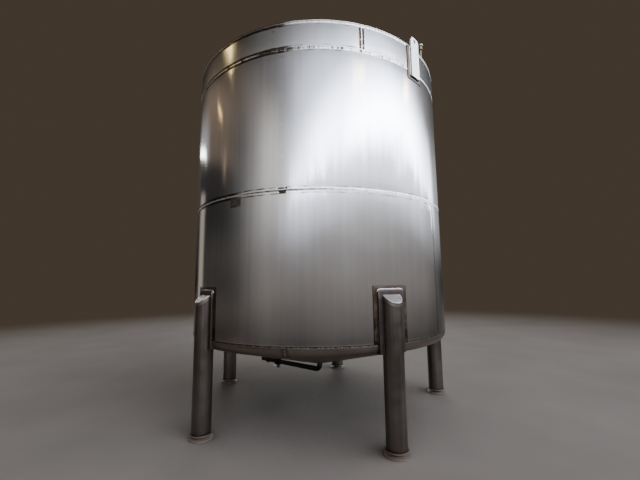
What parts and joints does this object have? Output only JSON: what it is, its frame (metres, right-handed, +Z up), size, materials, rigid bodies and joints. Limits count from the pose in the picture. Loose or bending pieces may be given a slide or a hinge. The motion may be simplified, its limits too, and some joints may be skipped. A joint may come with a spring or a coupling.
{
  "type": "vertical storage tank",
  "caption": "Upright round storage tank of welded stainless sheet, with a conical bottom and roof, tubular legs on levelling feet, lifting lugs and a bottom drain.",
  "frame": {"origin": "centre of the footprint at floor level; the tank's own axis stands 70 mm towards +Y", "axes": "+Z up, X through the two lifting lugs, one leg on the -Y side"},
  "size_m": [3.4448, 3.47, 4.7474],
  "materials": {
    "mill_finish_sheet": "cold-rolled stainless sheet, satin mill finish",
    "top_course_sheet": "cold-rolled stainless sheet, satin mill finish",
    "roof_sheet": "cold-rolled stainless sheet, satin mill finish",
    "heat_tinted_plate": "stainless plate with brown heat tint from welding",
    "leg_steel": "ground stainless tube",
    "bright_plate": "bright stainless plate",
    "foot_steel": "turned stainless, stained at the floor",
    "fitting_steel": "turned stainless fitting",
    "drain_steel": "drawn stainless tube and fittings"
  },
  "bodies": {
    "root": {"shell_lower_plate_1": "mill_finish_sheet", "shell_lower_plate_2": "mill_finish_sheet", "shell_upper_plate_1": "mill_finish_sheet", "shell_upper_plate_2": "mill_finish_sheet", "shell_top_plate_1": "top_course_sheet", "shell_top_plate_2": "top_course_sheet", "bottom_sector_1": "mill_finish_sheet", "bottom_sector_2": "mill_finish_sheet", "bottom_sector_3": "mill_finish_sheet", "bottom_sector_4": "mill_finish_sheet", "bottom_sector_5": "mill_finish_sheet", "roof_cone": "roof_sheet", "leg_1_pad": "heat_tinted_plate", "leg_1_saddle": "leg_steel", "leg_1_tube": "leg_steel", "leg_1_cap": "bright_plate", "leg_1_foot": "foot_steel", "leg_2_pad": "heat_tinted_plate", "leg_2_saddle": "leg_steel", "leg_2_tube": "leg_steel", "leg_2_cap": "bright_plate", "leg_2_foot": "foot_steel", "leg_3_pad": "heat_tinted_plate", "leg_3_saddle": "leg_steel", "leg_3_tube": "leg_steel", "leg_3_cap": "bright_plate", "leg_3_foot": "foot_steel", "leg_4_pad": "heat_tinted_plate", "leg_4_saddle": "leg_steel", "leg_4_tube": "leg_steel", "leg_4_cap": "bright_plate", "leg_4_foot": "foot_steel", "leg_5_pad": "heat_tinted_plate", "leg_5_saddle": "leg_steel", "leg_5_tube": "leg_steel", "leg_5_cap": "bright_plate", "leg_5_foot": "foot_steel", "lug_pad_right": "heat_tinted_plate", "lifting_lug_right": "bright_plate", "lug_pad_left": "heat_tinted_plate", "lifting_lug_left": "bright_plate", "vent_pipe": "fitting_steel", "vent_cap": "fitting_steel", "manway_neck": "roof_sheet", "manway_lid": "roof_sheet", "drain_pipe": "drain_steel", "drain_valve": "drain_steel", "drain_lever": "drain_steel", "drain_outlet": "drain_steel"}
  },
  "joints": []
}
